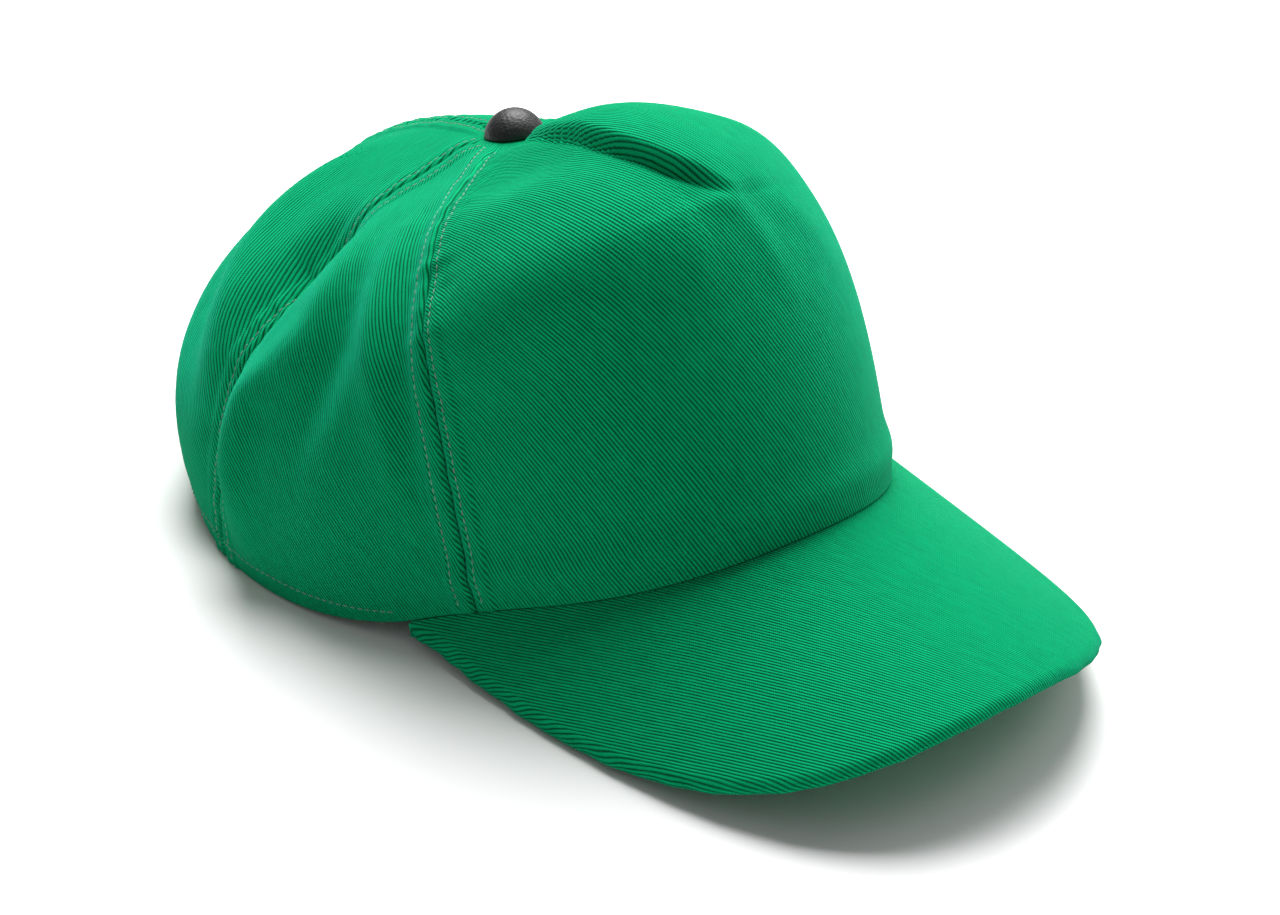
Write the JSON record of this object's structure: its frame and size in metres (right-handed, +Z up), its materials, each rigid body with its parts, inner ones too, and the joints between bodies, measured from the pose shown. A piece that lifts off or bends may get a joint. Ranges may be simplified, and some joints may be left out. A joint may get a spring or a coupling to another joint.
{
  "type": "five-panel cap",
  "caption": "Cotton twill cap with a stiff high front, sewn dart, long curved bill, covered top button and plastic snap strap behind.",
  "frame": {"origin": "on the ground, under the middle of the cap's length and width, with the cap standing on its bill and hem", "axes": "+Z up; the bill points along -Y and the snap strap is towards +Y; +X is the wearer's left"},
  "size_m": [0.1792, 0.2744, 0.1176],
  "materials": {
    "twill": "matt cotton twill, green",
    "thread": "pale green sewing thread",
    "backing": "stiff open-weave buckram",
    "tape": "matt woven cotton tape",
    "bill_board": "matt moulded sheet",
    "sweatband": "matt cotton, black",
    "foam": "thin foam strip",
    "button": "fine pebbled, soft sheen",
    "rivet_steel": "plated",
    "strap_plastic": "satin moulded",
    "label": "blank satin tape"
  },
  "bodies": {
    "cap": {"front_panel": "twill", "front_backing": "backing", "side_panel_left": "twill", "side_panel_right": "twill", "rear_panel_left": "twill", "rear_panel_right": "twill", "seam_tape_front_left": "tape", "seam_tape_front_right": "tape", "seam_tape_side_left": "tape", "seam_tape_side_right": "tape", "seam_tape_back": "tape", "back_arch_binding": "tape", "bill_board": "bill_board", "bill_top_cover": "twill", "bill_under_cover": "twill", "sweatband": "sweatband", "sweatband_core": "foam", "button_cover": "button", "button_shell": "rivet_steel", "button_washer": "rivet_steel", "strap_tab_left": "strap_plastic", "strap_tab_right": "strap_plastic", "care_label": "label"},
    "strap_with_holes": {"strap_holes": "strap_plastic"},
    "strap_with_pegs": {"strap_pegs": "strap_plastic"}
  },
  "joints": [
    {"name": "holed_strap_flex", "type": "hinge", "parent": "cap", "child": "strap_with_holes", "pos_m": [-0.04169, 0.12361, 0.01452], "axis": [0.015, 0.2519, 0.9676], "range_deg": [0, 60], "stiffness_Nm_per_rad": 0.01},
    {"name": "pegged_strap_flex", "type": "hinge", "parent": "cap", "child": "strap_with_pegs", "pos_m": [0.04169, 0.12361, 0.01452], "axis": [-0.015, 0.2519, 0.9676], "range_deg": [0, 40], "stiffness_Nm_per_rad": 0.01}
  ]
}
